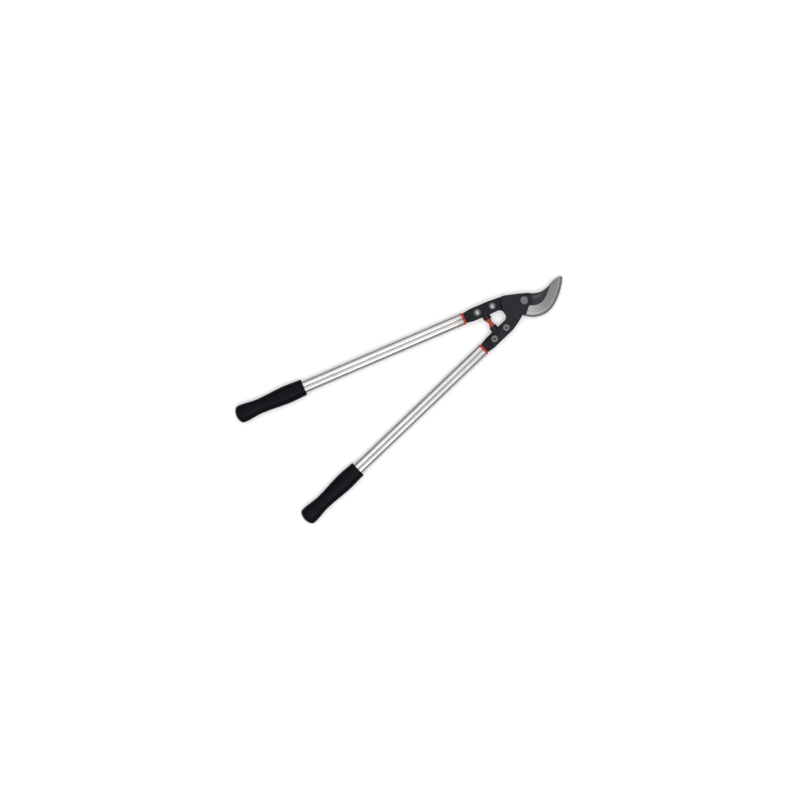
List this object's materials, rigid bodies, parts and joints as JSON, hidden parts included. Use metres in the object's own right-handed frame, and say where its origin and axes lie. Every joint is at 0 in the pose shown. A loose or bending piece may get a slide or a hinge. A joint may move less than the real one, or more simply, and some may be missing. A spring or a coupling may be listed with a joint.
{
  "type": "bypass loppers",
  "caption": "Long-handled bypass loppers: hooked counter blade, curved cutting blade, oval alloy tube handles, orange buffers and black grips.",
  "frame": {"origin": "on the pivot's axis, in the plane that the tool lies on (the pivot nut's outer face)", "axes": "+Z along the pivot axis from the nut to the bolt's head, so it points up when the tool lies flat; +Y from the pivot towards the blade's tip; +X to the right, towards the handle that carries the cutting blade"},
  "size_m": [0.315, 0.7862, 0.03],
  "materials": {
    "ground_steel": "black oxide forging with a ground bevel",
    "forged_steel": "satin black coating on a forging",
    "zinc_steel": "bright zinc plate",
    "bronze": "sintered bronze",
    "black_socket": "satin black",
    "orange_plastic": "moulded",
    "orange_rubber": "soft moulded rubber",
    "anodised_tube": "satin anodised, drawn lengthwise",
    "black_grip": "fine moulded grain",
    "black_plastic": "moulded"
  },
  "bodies": {
    "blade_half": {"cutting_blade": "ground_steel", "pivot_bolt": "zinc_steel", "pivot_washer": "zinc_steel", "pivot_nut": "zinc_steel", "right_socket": "black_socket", "right_bolts": "zinc_steel", "right_cap_nuts": "zinc_steel", "right_collar": "orange_plastic", "right_tube": "anodised_tube", "right_grip": "black_grip", "right_buffer_cup": "black_plastic", "right_buffer": "orange_rubber", "right_buffer_screw": "zinc_steel"},
    "counter_half": {"counter_blade": "forged_steel", "pivot_bush": "bronze", "left_socket": "black_socket", "left_bolts": "zinc_steel", "left_cap_nuts": "zinc_steel", "left_collar": "orange_plastic", "left_tube": "anodised_tube", "left_grip": "black_grip", "left_buffer_cup": "black_plastic", "left_buffer": "orange_rubber", "left_buffer_screw": "zinc_steel"}
  },
  "joints": [
    {"name": "pivot", "type": "hinge", "parent": "blade_half", "child": "counter_half", "pos_m": [0, 0, 0.015], "axis": [0, 0, -1], "range_deg": [0, 65]}
  ]
}
